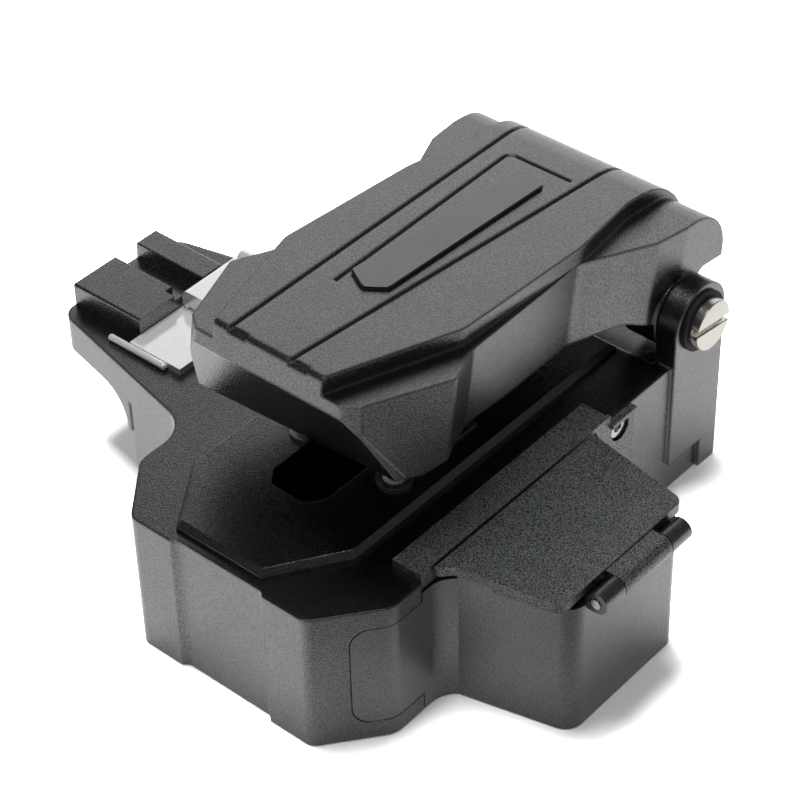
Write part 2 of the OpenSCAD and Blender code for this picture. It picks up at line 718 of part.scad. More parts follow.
// Engraved lines: a V that widens towards the hinge, and a hook round the name bar.
// line_x is where one arm of the V crosses a given depth.
function line_x(i, y) = line_front_x[i]
    + (line_rear_x[i] - line_front_x[i]) * (y + lid_front) / (bar_rear + lid_front);
module lid_lines() {
    for (i = [0, 1]) let(x0 = line_x(i, -far), x1 = line_x(i, far))
        up([[x0 - line_w / 2, -far], [x0 + line_w / 2, -far], [x1 + line_w / 2, far], [x1 - line_w / 2, far]],
            0, far);
    up([[hook_front_x, hook_front_y], [hook_front_x + line_w, hook_front_y],
        [hook_left + line_w, hook_rear, 1], [hook_right, hook_rear],
        [hook_right, hook_rear + line_w], [hook_left, hook_rear + line_w, 1.8]], 0, far);
}
module lid_shell() color("#222326") open_lid() difference() {
    union() {
        difference() {
            union() {
                lid_solid(0, 0);
                crown_solid(0, crown_h - line_deep);
                difference() {
                    crown_solid(0, crown_h);
                    lid_lines();
                }
            }
            // Hollow inside, open below
            difference() {
                intersection() {
                    union() {
                        translate([0, 0, -lid_wall]) lid_solid(lid_wall, 0);
                        translate([0, 0, -2 * lid_wall]) lid_solid(lid_wall, 0);
                        translate([0, 0, -4 * lid_wall]) lid_solid(lid_wall, 0);
                        translate([0, 0, -lid_wall - line_deep]) crown_solid(lid_wall, crown_h);
                    }
                    block([-far, -far, 0], [far, hinge_y - lug_r - 1.5, far]);
                }
                for (p = lid_screw_places) translate([p[0], p[1], inner_z + inner_t])
                    cylinder(h = far, r = 3);
            }
            // The middle of the hinge is open for the spring
            at_hinge() rod_x(lug_r + 0.6, -lug_left, lug_right);
            block([-lug_left, hinge_y - lug_r - 3, 0], [lug_right, hinge_y + 4, hinge_z + lug_r + 0.6]);
            block([-lug_left, hinge_y + 3.9, 0], [lug_right, far, hinge_z + lug_r]);
            bar_slab(-bar_sink, far);
            // The crown's front edge dips a little beside each engraved line
            for (x = line_front_x) along_x([
                [-lid_front - 1, crown_edge_z - 2], [-lid_front - 1, crown_edge_z + 1],
                [-lid_front + 2, crown_edge_z + 1]], x, x + line_w / 2 + dip_w);
        }
        for (side = [-1, 1]) hinge_half(side) at_hinge() rod_x(lug_r, ear_half - lug_w, ear_half);
    }
    at_hinge() rod_x(bush_r, -far, far);
    for (p = lid_screw_places) translate([p[0], p[1], 0]) cylinder(h = inner_z + 6, r = 1);
}

// Bare bar that stands in a shallow pocket of the crown; its front end is pointed
module bar_slab(low, high) intersection() {
    up([[bar_mid + 0.5, bar_front, 0.8], [bar_mid + bar_half, bar_front + 2.9, 0.8],
        [bar_mid + bar_half - bar_taper, bar_rear - 1.8, 1], [bar_mid, bar_rear, 1],
        [bar_mid - bar_half, bar_rear, 1], [bar_mid - bar_half, bar_front + 2.6, 0.8]], 0, far);
    along_x([
        [bar_front - 9, top_line(bar_front - 9) + crown_h + low],
        [bar_rear + 9, top_line(bar_rear + 9) + crown_h + low],
        [bar_rear + 9, top_line(bar_rear + 9) + crown_h + high],
        [bar_front - 9, top_line(bar_front - 9) + crown_h + high]], -far, far);
}
module name_bar() color("#17181a") open_lid() bar_slab(-bar_sink, bar_proud);
module inner_plate() color("#3b3d40") open_lid() difference() {
    union() {
        up([[-inner_front_half, inner_front, 2], [inner_front_half, inner_front, 2],
            [inner_half, inner_front + 8, 2], [inner_half, inner_rear, 2],
            [-inner_half, inner_rear, 2], [-inner_half, inner_front + 8, 2]],
            inner_z, inner_z + inner_t);
        for (p = button_places) translate([p[0], p[1], bumper_z + bumper_t])
            cylinder(h = inner_z - bumper_z - bumper_t + 0.5, r = 2.6);
        rod_z(anvil_hole + 1.6, inner_z + inner_t - 0.1, inner_z + inner_t + 4.6);
    }
    cylinder(h = inner_z + inner_t + 3.6, r = anvil_hole);
    translate([0, 0, inner_z - 1]) cylinder(h = 4.6, r = anvil_hole + 0.9);
    for (p = lid_screw_places) translate([p[0], p[1], 0]) cylinder(h = far, r = 1.1);
}
module inner_screws() color("#8f9194") open_lid() for (p = lid_screw_places) translate([p[0], p[1], 0]) {
    translate([0, 0, inner_z - 1.2]) difference() {
        cylinder(h = 1.2, r = 1.9);
        translate([0, 0, -1]) cylinder(h = 1.7, r = 0.8, $fn = 6);
    }
    translate([0, 0, inner_z - 0.1]) cylinder(h = inner_t + 3.8, r = 0.97);
}
module pad_holders() color("#8b8d90") open_lid() for (side = [-1, 1]) half(side)
    block([window_half + 2, -4, fibre_z + 1.9], [window_half + 6.4, 4, inner_z]);
module upper_pads() color("#4a4b4d") open_lid() for (side = [-1, 1]) half(side)
    block([window_half + 2, -4, fibre_z + 0.4], [window_half + 6.4, 4, fibre_z + 1.9]);
module lid_bumpers() color("#141415") open_lid() for (p = button_places)
    translate([p[0], p[1], bumper_z]) cylinder(h = bumper_t, r = 2.6);

// Anvil that bends the scored fibre until it breaks, on a sprung stem
module anvil_stem() color("#a8aaad") open_lid() {
    rod_z(anvil_hole - 0.1, anvil_z + 2, inner_z + inner_t + 2.2);
    rod_z(anvil_hole + 0.6, anvil_z + 2, anvil_z + 3.4);
}
module anvil_tip() color("#c9cbcd") open_lid() along_x([
    [-3.4, anvil_z + 0.8], [-0.6, anvil_z, 0.4], [0.6, anvil_z, 0.4], [3.4, anvil_z + 0.8],
    [3.4, anvil_z + 2], [-3.4, anvil_z + 2]], -2.4, 2.4);
module anvil_spring() color("#b5b7ba") open_lid() translate([0, 0, anvil_z + 3.4])
    coil(anvil_hole + 0.45, 0.25, inner_z - anvil_z + 0.1, 4);

module lid_bushes() color("#a8834a") open_lid() for (side = [-1, 1]) hinge_half(side) at_hinge()
    difference() {
        rod_x(bush_r, ear_half - lug_w + 0.2, ear_half - 0.2);
        rod_x(shaft_r + run_gap, 0, far);
    }
module lid_spring() color("#a7a9ac") open_lid() at_hinge()
    translate([-lug_left + 1.2, 0, 0]) rotate([0, 90, 0])
        coil(shaft_r + 0.5 + spring_wire * 2, spring_wire * 1.5, lug_left + lug_right - 2.4, 9);

// ---------------------------------------------------------------- scrap bin

// Sheet bracket on the housing: its flange is the textured strip that the fibre passes over
module bin_bracket() color("#2e322f") difference() {
    union() {
        block([strip_left, strip_front, shelf_z], [bracket_out, strip_rear, strip_top]);
        block([side_x, bin_root_front + 3, 11], [bracket_out, flange_rear, shelf_z + 0.5]);
        block([side_x, strip_rear - 0.1, shelf_z], [bracket_out, flange_rear, deck_z]);
        block([side_x, strip_rear - 0.1, deck_z - bracket_lip_h],
            [bracket_out + bracket_lip, flange_rear, deck_z]);
        block([bracket_out - 0.9, strip_front, strip_top - 0.1], [bracket_out, strip_rear, strip_top + 0.4]);
    }
    translate([0, bracket_screw_y, bracket_screw_z]) rod_x(bracket_hole_r, 0, bracket_out + 0.1);
}
module bracket_washer() color("#131314") translate([0, bracket_screw_y, bracket_screw_z]) difference() {
    rod_x(bracket_hole_r - 0.03, bracket_seat, bracket_seat + 0.3);
    rod_x(bracket_screw_r + 0.1, 0, far);
}
module bracket_screw() color("#c4c2ba") translate([0, bracket_screw_y, bracket_screw_z]) difference() {
    union() {
        rod_x(bracket_head_r, bracket_seat + 0.3, bracket_seat + 1.2);
        rod_x(bracket_screw_r - 0.03, side_x - wall + 0.3, bracket_seat + 0.4);
    }
    translate([bracket_seat + 0.5, 0, 0]) rotate([0, 90, 0]) cylinder(h = 5, r = 1.2, $fn = 6);
}

function bin_path(e) = [
    [bin_left + e, bin_root_front + e + 0.6],
    [bin_left + 2 + e, bin_root_front + e, 2],
    [bin_right - e, bin_front + e, 3.6],
    [bin_right - e, bin_rear - e, 3],
    [bin_left + e, bin_root_rear - e],
];
module bin_body() color("#34363a") difference() {
    union() {
        up(bin_path(0), foot_z, bin_top);
        tongue(0);
        // The tongue's root sweeps round into the bin's front wall
        up([[side_x + 0.3, step_y + 0.2], [base_right, step_y + 0.2], [base_right, bin_root_front, 5.6],
            [base_right + 18, bin_root_front + 4.4], [side_x + 0.3, bin_root_front + 2.6]],
            foot_z, min(shelf_z, bin_top) - 0.3);
        for (y = [barrel_front, barrel_rear - knuckle_l]) {
            translate([barrel_x, 0, barrel_z]) rod_y(barrel_r, y, y + knuckle_l);
            block([bin_right - bin_wall, y, barrel_z - barrel_r], [barrel_x, y + knuckle_l, barrel_z]);
        }
    }
    up(bin_path(bin_wall), foot_z + bin_wall, far);
    translate([barrel_x, 0, barrel_z]) {
        rod_y(pin_r, -far, far);
        // Room for the flap's own knuckle to turn in
        rod_y(barrel_r + 0.35, barrel_front + knuckle_l, barrel_rear - knuckle_l);
    }
}
// The flap's skirt runs alongside the bin's front wall, just outside it
function skirt_edge(x) = bin_root_front + (bin_front - bin_root_front) * (x - bin_left - 2)
    / (bin_right - bin_left - 2) - 0.3;
module flap_pin() color("#d5d3cb") translate([barrel_x, 0, barrel_z])
    rod_y(pin_r, barrel_front - 0.3, barrel_rear + 0.3);
module bin_flap() color("#2e322f") difference() {
    union() {
        up([[flap_left, strip_front + 3], [flap_left + 0.9, strip_front + 3.2, 0.6],
            [flap_left + 2.7, bin_root_front - 0.9, 2], [flap_right, bin_front - 2.5, 2.4],
            [flap_right, bin_rear + 1.5, 2], [flap_left + 1.6, bin_root_rear + 1.1, 1.4],
            [flap_left, bin_root_rear + 2]],
            flap_z, flap_z + flap_t);
        // Skirt under the front edge, just in front of the bin's wall
        up([[skirt_left, skirt_edge(skirt_left) - skirt_t], [skirt_right, skirt_edge(skirt_right) - skirt_t],
            [skirt_right, skirt_edge(skirt_right)], [skirt_left, skirt_edge(skirt_left)]],
            bin_top - 0.6, flap_z + 0.1);
        translate([barrel_x, 0, barrel_z])
            rod_y(barrel_r, barrel_front + knuckle_l + 0.2, barrel_rear - knuckle_l - 0.2);
        block([bin_right - 2, barrel_front + knuckle_l + 0.2, flap_z],
            [barrel_x, barrel_rear - knuckle_l - 0.2, barrel_z + barrel_r]);
    }
    translate([barrel_x, 0, barrel_z]) rod_y(pin_r + run_gap, -far, far);
}

base_body();
top_plate();
bottom_cover();
cover_screws();
sole_pad();
stop_buttons();
button_rings();
holder_block();
holder_screws();
guide_plate();
clamp_pin();
pad_seats();
lower_pads();
carriage_rail();
rail_screws();
hinge_shaft();
hinge_screws();
hinge_washers();
bin_bracket();
bracket_screw();
bracket_washer();
lid_shell();
name_bar();
inner_plate();
inner_screws();
pad_holders();
upper_pads();
lid_bumpers();
lid_bushes();
lid_spring();
anvil_stem();
anvil_tip();
anvil_spring();
carriage_block();
blade_axle();
axle_clips();
height_screw();
blade_wheel();
blade_hub();
fibre_clamp();
clamp_pad();
bin_body();
flap_pin();
bin_flap();
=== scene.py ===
# %% [markdown]
# # A fibre cleaver, standing open on a white table
# This tool scores a glass fibre with a small steel wheel and breaks it square. Its shape comes
# from a imported CAD frame, where every piece already has its real size and place. This lesson
# gives each piece the finish it has on the real tool: satin black powder coat, spark textured
# plastic, bright nickel, polished steel and rubber. Two small meshes are added near the end: the
# nose of the lid, and a copy of the anvil's spring.

import json
import math

import bpy
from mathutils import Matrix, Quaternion, Vector


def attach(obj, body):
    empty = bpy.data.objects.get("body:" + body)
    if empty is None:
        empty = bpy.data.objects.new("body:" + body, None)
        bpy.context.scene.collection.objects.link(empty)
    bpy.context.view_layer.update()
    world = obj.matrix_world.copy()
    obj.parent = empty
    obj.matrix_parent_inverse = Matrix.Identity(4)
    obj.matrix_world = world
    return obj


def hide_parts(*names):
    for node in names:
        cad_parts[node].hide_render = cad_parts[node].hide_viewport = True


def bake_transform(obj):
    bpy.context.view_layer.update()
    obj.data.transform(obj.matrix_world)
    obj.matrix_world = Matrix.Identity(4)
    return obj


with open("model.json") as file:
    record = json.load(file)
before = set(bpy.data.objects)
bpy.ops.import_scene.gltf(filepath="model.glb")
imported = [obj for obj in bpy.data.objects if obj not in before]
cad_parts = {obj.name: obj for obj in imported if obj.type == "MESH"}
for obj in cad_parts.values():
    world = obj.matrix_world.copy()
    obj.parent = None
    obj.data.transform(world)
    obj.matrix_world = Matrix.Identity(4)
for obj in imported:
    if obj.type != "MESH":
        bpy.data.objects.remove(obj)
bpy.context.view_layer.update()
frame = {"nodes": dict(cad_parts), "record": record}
nodes = frame["nodes"]
print("pieces in the frame:", len(nodes))

# %% [markdown]
# The camera comes first, because it says how fine the details have to be. The tool is seen from
# its front right corner, from well above, through a long lens that keeps its edges nearly
# parallel. The camera could be placed by coordinates, but two angles, a slight roll and a distance
# from a point inside the tool are easier to adjust. The Standard view shows colours as they are
# set.

# %% Place the camera
MM = 0.001
AZIMUTH = math.radians(41.5)
ELEVATION = math.radians(40)
ROLL = math.radians(-1.5)
FOCAL_MM = 117
CAMERA_DISTANCE = 430 * MM
LOOK_AT = Vector((11.2, -12.4, 46.9)) * MM

back = Vector((
    math.sin(AZIMUTH) * math.cos(ELEVATION),
    -math.cos(AZIMUTH) * math.cos(ELEVATION),
    math.sin(ELEVATION),
))
lens = bpy.data.cameras.new("camera")
lens.lens = FOCAL_MM
lens.clip_start = 10 * MM
camera = bpy.data.objects.new("camera", lens)
bpy.context.scene.collection.objects.link(camera)
bpy.context.scene.camera = camera
camera.location = LOOK_AT + back * CAMERA_DISTANCE
camera.rotation_mode = "QUATERNION"
camera.rotation_quaternion = Quaternion(back, ROLL) @ (-back).to_track_quat("-Z", "Y")
bpy.context.scene.view_settings.view_transform = "Standard"
print("the camera stands", round(camera.location.length * 1000), "mm from the origin")

# %% [markdown]
# Materials, table and surround below are all small networks of nodes. Two helpers build the nodes
# that they need most. The first is a Math node whose inputs are numbers or other nodes' outputs.
# The second maps a value from one range to another, and can ease in and out of the ends.

# %% Helpers for values
def math_of(tree, operation, *values):
    node = tree.nodes.new("ShaderNodeMath")
    node.operation = operation
    for socket, value in zip(node.inputs, values):
        if isinstance(value, bpy.types.NodeSocket):
            tree.links.new(value, socket)
        else:
            socket.default_value = value
    return node.outputs[0]


def ramp(tree, value, start, end, low, high, eased=False):
    """Low where value is at start, high where it is at end, and held at both ends."""
    node = tree.nodes.new("ShaderNodeMapRange")
    if eased:
        node.interpolation_type = "SMOOTHSTEP"
    numbers = {"From Min": start, "From Max": end, "To Min": low, "To Max": high}
    for socket, number in numbers.items():
        node.inputs[socket].default_value = number
    tree.links.new(value, node.inputs["Value"])
    return node.outputs["Result"]


print("helpers for values ready")

# %% [markdown]
# A product on white is usually lit by a soft lamp while the paper under it is overexposed, and
# black glossy walls mirror that paper. More lamp power would do the same here, and would bleach
# the tool's pale pieces. So the lamp stays at a plain level, and the table and the surround have
# one level for the light that falls on things, one for the lens, and one for mirrored rays.

# %% Levels for each kind of ray
def level_seen(tree, falling, lens, mirrored):
    """One level for falling light, one for rays from the lens, and one for mirrored rays."""
    path = tree.nodes.new("ShaderNodeLightPath")
    level = falling
    kinds = {"Is Camera Ray": lens, "Is Glossy Ray": mirrored, "Is Transmission Ray": mirrored}
    for kind, seen in kinds.items():
        change = math_of(tree, "SUBTRACT", seen, falling)
        level = math_of(tree, "MULTIPLY_ADD", path.outputs[kind], change, level)
    return level


def level_by_distance(tree, middle_mm, near_mm, far_mm, low, high):
    """A level that goes from low to high with the distance from a point of the table."""
    place = tree.nodes.new("ShaderNodeTexCoord")
    reach = tree.nodes.new("ShaderNodeVectorMath")
    reach.operation = "DISTANCE"
    tree.links.new(place.outputs["Object"], reach.inputs[0])
    reach.inputs[1].default_value = Vector(middle_mm) * MM
    return ramp(tree, reach.outputs["Value"], near_mm * MM, far_mm * MM, low, high, eased=True)


print("levels ready")

# %% [markdown]
# The table is white paper. A table that only glows would be white as well, but it would show no
# shadow. So the lens sees the paper's colour raised until all but the shadow close to the tool is
# pure white, and a glow takes over only further out. The tool's walls mirror the paper greyer, and
# off the front right corner a painted shade darkens the paper's colour for mirrored rays, as if a
# person stood in the way of the room's light. So the walls that face that way mirror that painted
# shade and look darker than those on either side.

# %% The table
TABLE_HALF = 3000
PAPER_FALLING, PAPER_SEEN = 0.75, 2.8
# Painted shade: where the paper's colour for mirrored rays is darkened, and how dark it gets.
PAINTED_SHADE_MIDDLE = (110, -70, 0)
PAINTED_SHADE_NEAR, PAINTED_SHADE_FAR = 45, 110
PAPER_PAINTED_SHADE, PAPER_MIRRORED = 0.09, 0.70
GLOW_NEAR, GLOW_FAR = 110, 400
GLOW_LOW, GLOW_FULL, GLOW_MIRRORED = 0.08, 1.0, 0.17


def make_paper():
    material = bpy.data.materials.new("white_table")
    material.use_nodes = True
    tree = material.node_tree
    tree.nodes.clear()
    paper = tree.nodes.new("ShaderNodeBsdfDiffuse")
    # Painted shade: the paper's colour for mirrored rays is darker round the front right corner.
    mirrored_with_painted_shade = level_by_distance(
        tree, PAINTED_SHADE_MIDDLE, PAINTED_SHADE_NEAR, PAINTED_SHADE_FAR, PAPER_PAINTED_SHADE, PAPER_MIRRORED)
    tree.links.new(level_seen(tree, PAPER_FALLING, PAPER_SEEN, mirrored_with_painted_shade), paper.inputs["Color"])
    glow = tree.nodes.new("ShaderNodeEmission")
    glow.inputs["Color"].default_value = (1, 1, 1, 1)
    far_white = level_by_distance(tree, (0, 0, 0), GLOW_NEAR, GLOW_FAR, GLOW_LOW, GLOW_FULL)
    tree.links.new(level_seen(tree, 0, far_white, GLOW_MIRRORED), glow.inputs["Strength"])
    both = tree.nodes.new("ShaderNodeAddShader")
    tree.links.new(paper.outputs[0], both.inputs[0])
    tree.links.new(glow.outputs[0], both.inputs[1])
    out = tree.nodes.new("ShaderNodeOutputMaterial")
    tree.links.new(both.outputs[0], out.inputs["Surface"])
    return material


def make_table():
    w = TABLE_HALF * MM
    mesh = bpy.data.meshes.new("table")
    mesh.from_pydata([(-w, -w, 0), (w, -w, 0), (w, w, 0), (-w, w, 0)], [], [(0, 1, 2, 3)])
    mesh.materials.append(make_paper())
    table = bpy.data.objects.new("table", mesh)
    bpy.context.scene.collection.objects.link(table)
    return table


table = make_table()
print("the", table.name, "is", TABLE_HALF * 2, "mm wide")

# %% [markdown]
# The surround is an even pale room. A satin black coat shows little of its own colour and much of
# what it mirrors, so its tone is set here: mirrored, the room is dim, with one wide bright side at
# the back left, like a window wall, which the tops catch. A small bright patch above draws a thin
# line along rounded edges. Lamps could do both, but they would light the pale pieces too.

# %% The surround
ROOM_LIGHT, ROOM_SEEN, ROOM_DIM = 0.14, 1.0, 0.10
WINDOW_SIDE, WINDOW_LEVEL = (-0.55, 0.80, 0.25), 0.92
WINDOW_RIM, WINDOW_CORE = 0.80, 0.965
OVERHEAD_SIDE, OVERHEAD_LEVEL = (0.05, -0.20, 1.0), 4.5
OVERHEAD_RIM, OVERHEAD_CORE = 0.962, 0.985


def bright_patch(tree, side, rim, core, low, high):
    """A level that rises round one direction. Rim and core are cosines of the angle to it."""
    direction = tree.nodes.new("ShaderNodeTexCoord")
    along = tree.nodes.new("ShaderNodeVectorMath")
    along.operation = "DOT_PRODUCT"
    along.inputs[1].default_value = Vector(side).normalized()
    tree.links.new(direction.outputs["Generated"], along.inputs[0])
    return ramp(tree, along.outputs["Value"], rim, core, low, high, eased=True)


def make_surround():
    world = bpy.data.worlds.new("surround")
    bpy.context.scene.world = world
    world.use_nodes = True
    tree = world.node_tree
    sky = tree.nodes["Background"]
    sky.inputs["Color"].default_value = (1, 1, 1, 1)
    window = bright_patch(tree, WINDOW_SIDE, WINDOW_RIM, WINDOW_CORE, ROOM_DIM, WINDOW_LEVEL)
    above = bright_patch(tree, OVERHEAD_SIDE, OVERHEAD_RIM, OVERHEAD_CORE, 0, OVERHEAD_LEVEL)
    mirrored = math_of(tree, "ADD", window, above)
    tree.links.new(level_seen(tree, ROOM_LIGHT, ROOM_SEEN, mirrored), sky.inputs["Strength"])


make_surround()
print("the room's light is", ROOM_LIGHT, "and mirrors show", ROOM_DIM, "to", WINDOW_LEVEL)

# %% [markdown]
# One soft lamp high above the tool, a little to its left, gives the short shadow on the right. A
# smaller lamp would give the shadow a harder edge. Mirrored rays don't see the lamp, because it
# would show as a bright square on flat tops.

# %% The lamp
LAMP_PLACE = (-110, 20, 700)
LAMP_SIZE, LAMP_POWER = 300, 6.0
TOOL_MIDDLE = (0, 0, 20)


def soft_panel(name, place_mm, size_mm, power):
    """A square lamp that faces the middle of the tool."""
    lamp = bpy.data.lights.new(name, "AREA")
    lamp.size = size_mm * MM
    lamp.energy = power
    panel = bpy.data.objects.new(name, lamp)
    bpy.context.scene.collection.objects.link(panel)
    panel.location = Vector(place_mm) * MM
    towards = Vector(TOOL_MIDDLE) * MM - panel.location
    panel.rotation_mode = "QUATERNION"
    panel.rotation_quaternion = towards.to_track_quat("-Z", "Y")
    panel.visible_glossy = False
    return panel


lamp_above = soft_panel("panel_above", LAMP_PLACE, LAMP_SIZE, LAMP_POWER)
print("the lamp hangs at", round(lamp_above.location.z * 1000), "mm")

# %% [markdown]
# Each finish starts from the same few steps: a material, a noise in the piece's own space, two
# colours blended by it, and a bump. Because it is in that space, the grain moves with the piece.
# The space is turned off the tool's axes, as a noise is weak on planes that lie exactly on its
# grid, and this tool has many level and upright faces. Sizes are in millimetres, the way a finish
# is described in a workshop.

# %% Helpers for finishes
GRAIN_TURN = (0.58, 0.37, 0.82)
NOISE_LOW, NOISE_HIGH = 0.3, 0.7


def start_finish(name, metallic, **constants):
    material = bpy.data.materials.new(name)
    material.use_nodes = True
    tree = material.node_tree
    shader = tree.nodes["Principled BSDF"]
    shader.inputs["Metallic"].default_value = metallic
    for socket, value in constants.items():
        shader.inputs[socket.replace("_", " ")].default_value = value
    place = tree.nodes.new("ShaderNodeTexCoord")
    turned = tree.nodes.new("ShaderNodeMapping")
    turned.inputs["Rotation"].default_value = GRAIN_TURN
    tree.links.new(place.outputs["Object"], turned.inputs["Vector"])
    return material, tree, shader, turned.outputs["Vector"]


def noise(tree, place, grain_mm, detail):
    """A noise with features about grain_mm across, mostly from NOISE_LOW to NOISE_HIGH."""
    node = tree.nodes.new("ShaderNodeTexNoise")
    node.inputs["Scale"].default_value = 1 / (grain_mm * MM)
    node.inputs["Detail"].default_value = detail
    tree.links.new(place, node.inputs["Vector"])
    return node.outputs["Fac"]


def blend(tree, share, first, second):
    """Mixes two colours, which are three numbers or another node's output."""
    node = tree.nodes.new("ShaderNodeMix")
    node.data_type = "RGBA"
    tree.links.new(share, node.inputs["Factor"])
    for socket, colour in (("A", first), ("B", second)):
        if isinstance(colour, bpy.types.NodeSocket):
            tree.links.new(colour, node.inputs[socket])
        else:
            node.inputs[socket].default_value = (*colour, 1)
    return node.outputs["Result"]


def bump(tree, height, depth_mm, under):
    node = tree.nodes.new("ShaderNodeBump")
    node.inputs["Distance"].default_value = depth_mm * MM
    tree.links.new(height, node.inputs["Height"])
    if under is not None:
        tree.links.new(under, node.inputs["Normal"])
    return node.outputs["Normal"]


print("helpers for finishes ready")

# %% [markdown]
# One recipe covers all of this tool's surfaces. Two close colours lie in soft patches, so that no
# face is one flat tone. Every grain raises a bump, and the finest one also lightens and darkens the
# colour and changes the gloss. Where paint has crept over sharp edges, a Bevel node shades them as
# if they were rounder. A clear coat gets the same bumps as what lies under it.

# %% The recipe for a finish
PATCH_MM = 9
PATCH_DETAIL, GRAIN_DETAIL = 3, 2
SPECK_LOW, SPECK_HIGH = 0.4, 0.6


def shaded(colour, factor):
    return [c * factor for c in colour]


def grained_finish(
        name, first, second, gloss, grains, metallic=0.0, speckle=0.12, round_mm=0, **constants):
    """grains lists (grain size in mm, depth in mm) from coarse to fine, gloss is a range of
    roughness, and speckle says how much the finest grain lightens and darkens the colour."""
    material, tree, shader, place = start_finish(name, metallic, **constants)
    normal = None
    if round_mm:
        rounded = tree.nodes.new("ShaderNodeBevel")
        rounded.samples = 4
        rounded.inputs["Radius"].default_value = round_mm * MM
        normal = rounded.outputs["Normal"]
    for grain_mm, depth_mm in grains:
        fine = noise(tree, place, grain_mm, GRAIN_DETAIL)
        normal = bump(tree, fine, depth_mm, normal)
    wide = noise(tree, place, PATCH_MM, PATCH_DETAIL)
    patches = ramp(tree, wide, NOISE_LOW, NOISE_HIGH, 0, 1)
    dark = blend(tree, patches, shaded(first, 1 - speckle), shaded(second, 1 - speckle))
    light = blend(tree, patches, shaded(first, 1 + speckle), shaded(second, 1 + speckle))
    colour = blend(tree, ramp(tree, fine, SPECK_LOW, SPECK_HIGH, 0, 1), dark, light)
    roughness = ramp(tree, fine, NOISE_LOW, NOISE_HIGH, *gloss)
    tree.links.new(colour, shader.inputs["Base Color"])
    tree.links.new(roughness, shader.inputs["Roughness"])
    tree.links.new(normal, shader.inputs["Normal"])
    if "Coat_Weight" in constants:
        tree.links.new(normal, shader.inputs["Coat Normal"])
    return material


finishes = {}
print("the recipe is ready")

# %% [markdown]
# The housing and the lid are die castings under a satin black powder coat. Its skin has a fine
# orange peel about a quarter of a millimetre across, which breaks highlights into specks. Such a
# coat mirrors a pale room strongly, so its walls look grey beside a white table and its shaded
# faces look black. A plain dark plastic would stay flat, so the base is a dark metal under a clear
# coat. The raised top plate has a coat of its own, a little darker.

# %% Powder coat
COAT = {"Coat_Weight": 1.0, "Coat_Roughness": 0.22, "Coat_IOR": 1.5}
finishes["black_paint"] = grained_finish(
    "powder_coat", (0.120, 0.124, 0.122), (0.136, 0.140, 0.138), (0.17, 0.27),
    [(0.75, 0.010), (0.27, 0.060)], metallic=1.0, speckle=0.40, round_mm=0.8, **COAT)
finishes["deck_black"] = grained_finish(
    "deck_coat", (0.100, 0.106, 0.102), (0.116, 0.122, 0.118), (0.15, 0.24),
    [(0.75, 0.008), (0.27, 0.060)], metallic=1.0, speckle=0.50, **COAT)
print("coats:", sorted(finishes))

# %% [markdown]
# The moulded pieces differ in grain more than in colour. The bin's flap and bracket have a coarse
# spark texture that hides scratches, the bin itself is satin, the bar on the lid is smooth, and
# the fibre holder has a thin hard coat. The bottom cover and the lid's inner plate are plain and
# matt. Rubber is nearly black, and the pads that press on the fibre are a little paler. All of
# them could share one black, but side by side they would then look like one piece.

# %% Plastics and rubber
finishes["textured_black"] = grained_finish(
    "spark_texture", (0.112, 0.123, 0.116), (0.134, 0.145, 0.138), (0.30, 0.45),
    [(0.60, 0.06), (0.26, 0.13)], metallic=0.8, speckle=0.85, **COAT)
finishes["bin_black"] = grained_finish(
    "moulded_satin", (0.145, 0.148, 0.154), (0.158, 0.161, 0.167), (0.28, 0.36),
    [(0.9, 0.008), (0.27, 0.030)], metallic=1.0, speckle=0.26, **COAT)
finishes["gloss_black"] = grained_finish(
    "semi_gloss", (0.105, 0.112, 0.112), (0.120, 0.126, 0.126), (0.14, 0.22),
    [(1.2, 0.02), (0.3, 0.004)], metallic=1.0, speckle=0.04, **COAT)
finishes["black_plastic"] = grained_finish(
    "matt_moulding", (0.045, 0.046, 0.047), (0.055, 0.056, 0.057), (0.55, 0.65),
    [(0.4, 0.02)])
finishes["holder_plastic"] = grained_finish(
    "holder_coat", (0.150, 0.160, 0.154), (0.170, 0.180, 0.174), (0.22, 0.32),
    [(0.7, 0.008), (0.26, 0.040)], metallic=1.0, speckle=0.45, **COAT)
finishes["rubber"] = grained_finish(
    "rubber", (0.012, 0.012, 0.012), (0.02, 0.02, 0.02), (0.6, 0.75), [(0.5, 0.02)])
finishes["pad_rubber"] = grained_finish(
    "pad_rubber", (0.05, 0.05, 0.052), (0.065, 0.065, 0.068), (0.5, 0.6), [(0.3, 0.01)])
print("finishes so far:", len(finishes))

# %% [markdown]
# Metals are told apart by colour and polish. Nickel is warm, polished steel is nearly white,
# turned steel is greyer, blackened steel and blasted alloy are dull, and sintered bronze is brown.
# The guide plate and the clamp are so smooth that as pure mirrors they would turn black from some
# sides, so polished steel keeps a share of plain white, as a plate with fine scratches does.

# %% Metals
finishes["steel"] = grained_finish(
    "turned_steel", (0.50, 0.50, 0.49), (0.58, 0.58, 0.57), (0.28, 0.38),
    [(0.4, 0.003)], metallic=1.0, speckle=0.05)
finishes["nickel"] = grained_finish(
    "bright_nickel", (0.68, 0.65, 0.60), (0.76, 0.73, 0.68), (0.18, 0.24),
    [(0.6, 0.001)], metallic=1.0, speckle=0.03)
finishes["polished_steel"] = grained_finish(
    "polished_steel", (0.80, 0.80, 0.81), (0.86, 0.86, 0.87), (0.10, 0.16),
    [(0.8, 0.002)], metallic=0.62, speckle=0.03)
finishes["black_screw"] = grained_finish(
    "blackened_steel", (0.05, 0.05, 0.05), (0.07, 0.07, 0.07), (0.35, 0.45),
    [(0.3, 0.01)], metallic=1.0)
finishes["bronze"] = grained_finish(
    "sintered_bronze", (0.42, 0.29, 0.13), (0.5, 0.35, 0.17), (0.4, 0.55),
    [(0.25, 0.02)], metallic=1.0)
